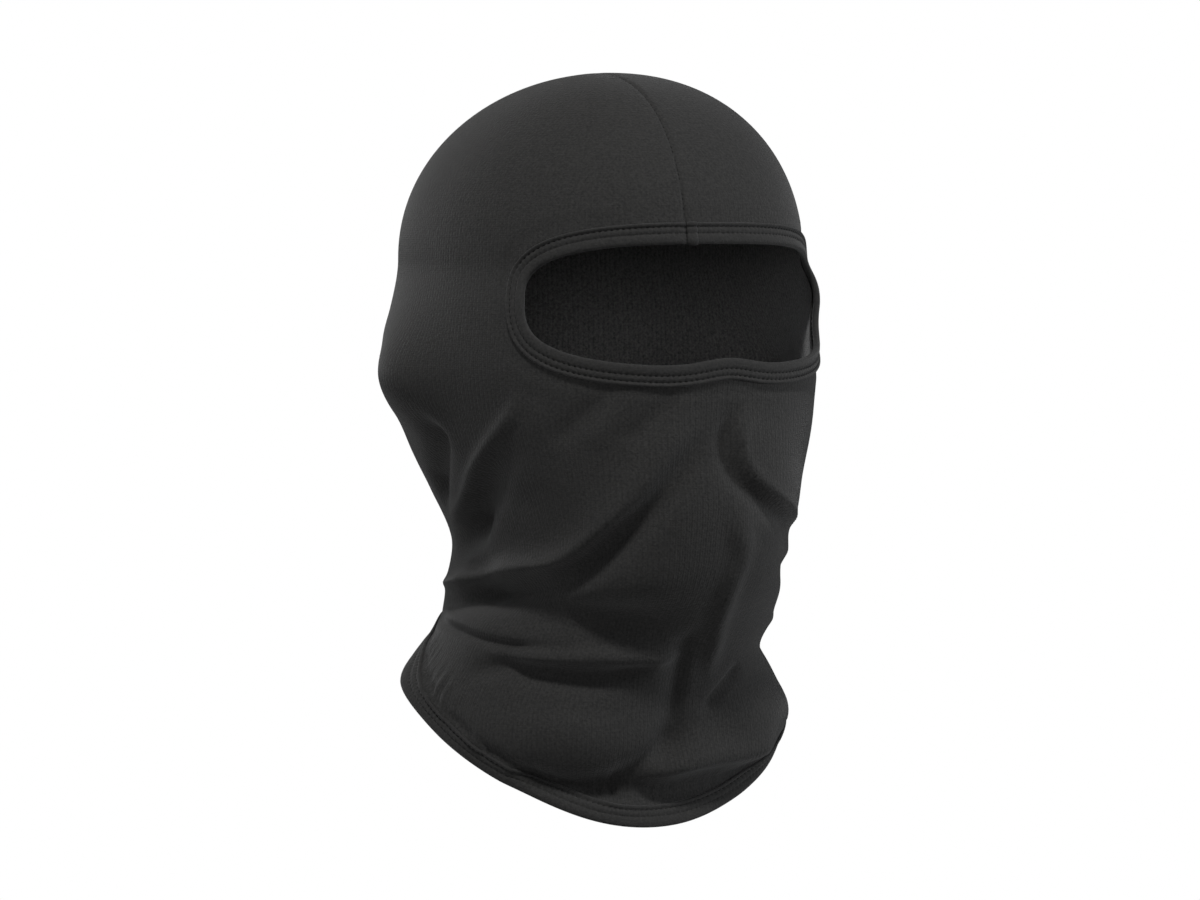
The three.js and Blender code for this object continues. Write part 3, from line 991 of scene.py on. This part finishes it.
def threadMaterial(name, shade):
    # twisted polyester: slanting plies; its colour is set darker than the cloth, painted shade that makes the
    # stitch rows read as dark dots
    material, bench, surface = startMaterial(name)
    place = bench.node("ShaderNodeTexCoord", out=3)
    plies = {"wave_type": "BANDS", "bands_direction": "DIAGONAL"}
    wave = bench.node("ShaderNodeTexWave", plies, Vector=place, Scale=900, Distortion=2.5, Detail=1)
    fluff = bench.node("ShaderNodeTexNoise", Vector=place, Scale=2500, Detail=2)
    tone = wave * 0.6 + fluff * 0.4
    colour = bench.node("ShaderNodeMix", {"data_type": "RGBA"}, out=2, i0=tone,
                        i6=grey(shade * 0.6), i7=grey(shade * 1.5))
    wire(bench, surface, "Base Color", colour)
    wire(bench, surface, "Roughness", 0.7 + fluff * 0.25)
    wire(bench, surface, "Normal", bench.node("ShaderNodeBump", Strength=0.4, Distance=0.00008, Height=tone))
    surface.inputs["Specular IOR Level"].default_value = 0.1
    return material


dark, light = knitLook["dark"], knitLook["light"]
clothFinish = knitMaterial("black_jersey", dark, light, 1.0, 1.0, 0.07)
# painted light: the inner face is the same black knit made several times lighter, standing in for light that
# reaches inside the hood
paintedLightInnerFinish = knitMaterial("black_jersey_inside_painted_light", dark * knitLook["inside"], light * knitLook["inside"],
                            1.0, 1.0, 0.3)
bandFinish = knitMaterial("black_binding", dark * 0.95, light * 0.98, 0.6, 0.8, 0.07)
threadFinish = threadMaterial("black_thread_painted_shade", knitLook["thread"])
print("materials ready")

for piece, finishes in ((hoodPiece, (clothFinish, paintedLightInnerFinish)), (eyePiece, (bandFinish,)),
                        (neckPiece, (bandFinish,))):
    for i, finish in enumerate(finishes):
        if i < len(piece.data.materials):
            piece.data.materials[i] = finish
        else:
            piece.data.materials.append(finish)


# the rows of the two bindings, the joins and the seam

def bandRows(name, place, stitchCount, start, span, margins, seed):
    # one visible stitch in the middle of each step between two needle holes
    rows = []
    for i, (suffix, margin) in enumerate(margins.items()):
        spots = arcPlaces(edgePath(place, margin), start, span, 2 * stitchCount + 1)[0][1::2]
        height = band["lift"] + band["wall"] - 0.2 - band["dent"] * 0.3
        points = place(spots, np.full_like(spots, margin), np.full_like(spots, height))
        outer = place(spots, np.full_like(spots, margin), np.full_like(spots, height + 0.5))
        rows.append(stitchRow(f"{name}_{suffix}", points, outer, thread["dash"], thread["radius"], seed + i))
    return rows


eyeInner, eyeOuter = bandRows("eye_stitches", eyePlace, eyeStitches, eyeJoin, 2 * np.pi,
                              {"inner": rowA, "outer": rowB}, 11)
neckLower, neckUpper = bandRows("neck_stitches", hemPlace, neckStitches, np.pi, -2 * np.pi,
                                {"lower": rowA, "upper": rowB}, 21)


def looperRoute(place, start, span, stitchCount):
    # zigzag between the rows on the inner face, two crossings for each stitch
    spots = arcPlaces(edgePath(place, rowA), start, span * thread["looperSpan"], 2 * stitchCount + 1)[0]
    past = thread["looperPast"]
    swing = np.where(np.arange(len(spots)) % 2, rowB + past, rowA - past)
    inside = -(hood["wall"] + band["lift"] + band["wall"] + thread["looperStandOff"])
    return place(spots, swing, np.full_like(spots, inside))


fromJoin = 0.03  # radians
eyeLooper = strandAlong("eye_looper_thread",
                        looperRoute(eyePlace, eyeJoin + fromJoin, 2 * np.pi, eyeStitches))
neckLooper = strandAlong("neck_looper_thread",
                         looperRoute(hemPlace, np.pi - fromJoin, -2 * np.pi, neckStitches))


def joinStitches(name, place, start, shift, seed):
    # a short row across the strip, over its lapped end
    margins = np.linspace(1.7, band["width"] - 0.5, 5)
    spots = np.full_like(margins, start + shift)
    height = band["lift"] + band["wall"] + 0.42
    points = place(spots, margins, np.full_like(margins, height))
    outer = place(spots, margins, np.full_like(margins, height + 0.5))
    return stitchRow(name, points, outer, 0.6, thread["radius"], seed)


eyeJoinPiece = joinStitches("eye_join_stitches", eyePlace, eyeJoin, -0.004, 31)
neckJoinPiece = joinStitches("neck_join_stitches", hemPlace, np.pi, 0.004, 32)


def seamRoute(out, count=None):
    # from the eye binding in front over the crown and down to the neck binding behind, in steps of one
    # stitch where no count is given
    browEnd = seamEnd - 1.2
    napeEnd = hood["back"] - band["width"] - 1.2
    frontDrops = np.concatenate([np.linspace(browEnd, 20, 120),
                                 20 * np.linspace(1, 0.36, 80)[1:] ** 2])
    backDrops = np.concatenate([20 * np.linspace(0.36, 1, 80) ** 2, np.linspace(20, napeEnd, 400)[1:]])
    turns = np.concatenate([seamTurn(frontDrops), seamTurn(backDrops, behind=True)])
    points = clothPoint(turns, np.concatenate([frontDrops, backDrops]), out)
    length = np.concatenate([[0], np.cumsum(np.linalg.norm(np.diff(points, axis=0), axis=-1))])
    at = np.linspace(0, length[-1], count or int(length[-1] / thread["seamPitch"]))
    return np.stack([np.interp(at, length, points[:, i]) for i in range(3)], -1)


headMiddle = np.array([0, 0, -90])
seamPoints = seamRoute(-0.02)
seamOuter = seamPoints + unit(seamPoints - headMiddle)
seamStitches = stitchRow("crown_seam_stitches", seamPoints, seamOuter, thread["seamDash"],
                         thread["seamRadius"], 41)
inner = seamRoute(-(hood["wall"] + 0.2), 2 * len(seamPoints) + 1)
side = unit(np.cross(np.gradient(inner, axis=0), inner - headMiddle))
zigzag = np.where(np.arange(len(inner)) % 2, 1, -1)[:, None] * thread["looperReach"] * side
seamLooper = strandAlong("crown_seam_looper_thread", inner + zigzag)
print("stitching ready")


# each piece stands for its node and follows the hood

stands = [
    (hoodPiece, "hood_cloth", "cloth"),
    (eyePiece, "eye_binding", "binding"),
    (neckPiece, "neck_binding", "binding"),
    (eyeInner, "eye_stitch_inner", "thread"),
    (eyeOuter, "eye_stitch_outer", "thread"),
    (eyeLooper, "eye_looper", "thread"),
    (eyeJoinPiece, "eye_join_stitch", "thread"),
    (neckLower, "neck_stitch_lower", "thread"),
    (neckUpper, "neck_stitch_upper", "thread"),
    (neckLooper, "neck_looper", "thread"),
    (neckJoinPiece, "neck_join_stitch", "thread"),
    (seamStitches, "crown_seam_thread", "thread"),
    (seamLooper, "crown_seam_looper", "thread"),
]
for piece, node, slotName in stands:
    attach(piece, "root")
    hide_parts(node)


# floor, light and camera

def stage():
    # the floor is seen as pale studio paper but throws little light up under the hood
    material, bench, surface = startMaterial("pale_floor")
    place = bench.node("ShaderNodeTexCoord", out=3)
    mottle = bench.node("ShaderNodeTexNoise", Vector=place, Scale=2, Detail=2)
    colour = bench.node("ShaderNodeMix", {"data_type": "RGBA"}, out=2, i0=mottle, i6=(0.42, 0.42, 0.42, 1),
                        i7=(0.46, 0.46, 0.46, 1))
    wire(bench, surface, "Base Color", colour)
    surface.inputs["Roughness"].default_value = 0.9
    surface.inputs["Specular IOR Level"].default_value = 0
    seen = bench.node("ShaderNodeLightPath")
    paper = bench.node("ShaderNodeEmission", Color=(1, 1, 1, 1), Strength=1.0)
    mix = bench.node("ShaderNodeMixShader", i0=seen)
    tree = material.node_tree
    tree.links.new(surface.outputs["BSDF"], mix.socket.node.inputs[1])
    tree.links.new(paper.socket, mix.socket.node.inputs[2])
    tree.links.new(mix.socket, tree.nodes["Material Output"].inputs["Surface"])
    mesh = bpy.data.meshes.new("floor")
    size, drop = 12, -0.75  # half its side, and its height under the hood's crown
    corners = [(-size, -size, drop), (size, -size, drop), (size, size, drop), (-size, size, drop)]
    mesh.from_pydata(corners, [], [(0, 1, 2, 3)])
    mesh.materials.append(material)
    placed("floor", mesh)


def softbox(name, at, aim, size, power, tint=(1, 1, 1)):
    lamp = bpy.data.lights.new(name, "AREA")
    lamp.shape, lamp.size, lamp.energy, lamp.color = "DISK", size, power, tint
    obj = placed(name, lamp)
    obj.location = at
    obj.rotation_euler = (Vector(aim) - Vector(at)).to_track_quat("-Z", "Y").to_euler()


lamps = [
    dict(name="key", at=(-0.6, -1.1, 1.8), size=0.35, power=62, tint=(1, 0.99, 0.97)),
    dict(name="far side", at=(1.5, -0.9, 0.2), size=0.5, power=19, tint=(0.97, 0.985, 1)),
    dict(name="near side", at=(-1.8, 0.1, 0.6), size=0.8, power=7),
    dict(name="front", at=(-0.72, -1.42, 0.1), size=0.5, power=4.5),
    dict(name="rim", at=(0.5, 1.5, 1.2), size=1.0, power=3),
    dict(name="back", at=(-0.7, 1.8, 0.3), size=1.2, power=10),
]


def lights():
    for lamp in lamps:
        softbox(aim=(0, 0, -0.15), **lamp)
    # the ground is white to the camera and throws only a little light
    world = bpy.data.worlds.new("studio")
    world.use_nodes = True
    bench = Shade(world.node_tree)
    seen = bench.node("ShaderNodeLightPath")
    glow = bench.node("ShaderNodeBackground", Color=(1, 1, 1, 1), Strength=seen * 0.91 + 0.09)
    world.node_tree.links.new(glow.socket, world.node_tree.nodes["World Output"].inputs["Surface"])
    bpy.context.scene.world = world
    bpy.context.scene.view_settings.view_transform = "Standard"


view = dict(
    azimuth=math.radians(-30),  # towards the wearer's right
    elevation=math.radians(4.5),
    distance=1.2,
    target=Vector((0.0004, 0.0078, -0.1597)),
    focal=83.72,  # millimetres
)


def camera():
    level = math.cos(view["elevation"])
    away = Vector((math.sin(view["azimuth"]) * level, -math.cos(view["azimuth"]) * level,
                   math.sin(view["elevation"])))
    lens = bpy.data.cameras.new("camera")
    lens.lens = view["focal"]
    lens.sensor_width = 36
    lens.clip_start, lens.clip_end = 0.05, 100
    obj = placed("camera", lens)
    obj.location = view["target"] + view["distance"] * away
    obj.rotation_euler = (-away).to_track_quat("-Z", "Y").to_euler()
    bpy.context.scene.camera = obj


stage()
lights()
camera()
print("stage set")
